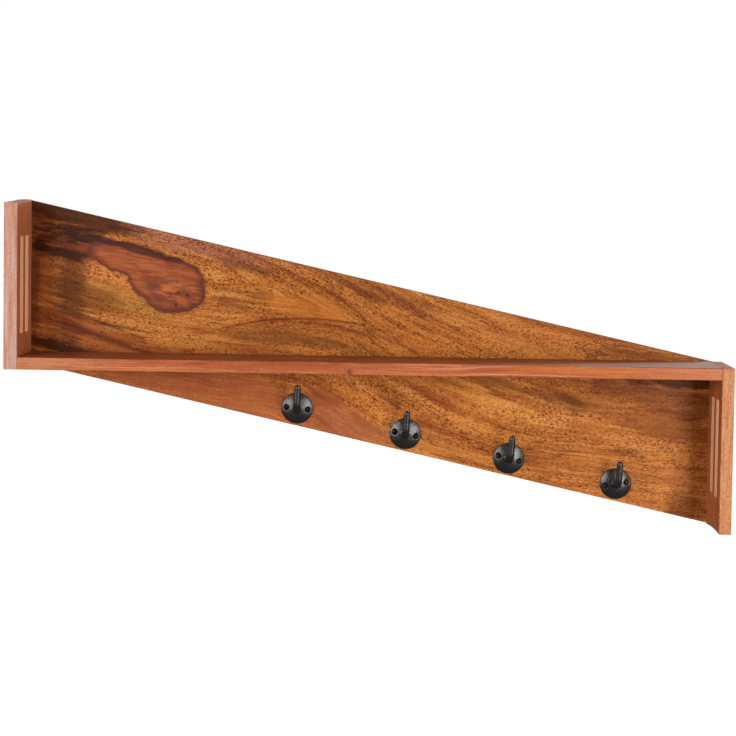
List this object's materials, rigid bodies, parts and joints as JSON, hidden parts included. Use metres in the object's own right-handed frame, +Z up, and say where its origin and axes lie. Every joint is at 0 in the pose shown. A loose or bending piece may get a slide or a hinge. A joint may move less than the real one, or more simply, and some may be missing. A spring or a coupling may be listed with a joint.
{
  "type": "wall coat rack",
  "caption": "Wall coat rack with a long shelf, slotted end boards that point up and down, a slanted back panel and domed iron hooks.",
  "frame": {"origin": "on the wall plane, at the middle of the rack's width and height", "axes": "+X along the shelf to the right as seen from the room, +Y into the wall, +Z up"},
  "size_m": [1.18, 0.12, 0.528],
  "materials": {
    "panel_wood": "oiled and lacquered, semi-gloss",
    "board_wood": "oiled and lacquered, semi-gloss",
    "dowel_wood": "raw beech",
    "black_iron": "black lacquer, satin",
    "black_steel": "black, satin",
    "zinc_steel": "zinc plated"
  },
  "bodies": {
    "root": {"back_panel": "panel_wood", "shelf": "board_wood", "left_upright": "board_wood", "right_upright": "board_wood", "hook_1": "black_iron", "hook_2": "black_iron", "hook_3": "black_iron", "hook_4": "black_iron", "hook_screws": "black_steel", "panel_screws": "zinc_steel", "shelf_dowels": "dowel_wood", "left_hanger_plate": "zinc_steel", "right_hanger_plate": "zinc_steel", "hanger_screws": "zinc_steel"}
  },
  "joints": []
}
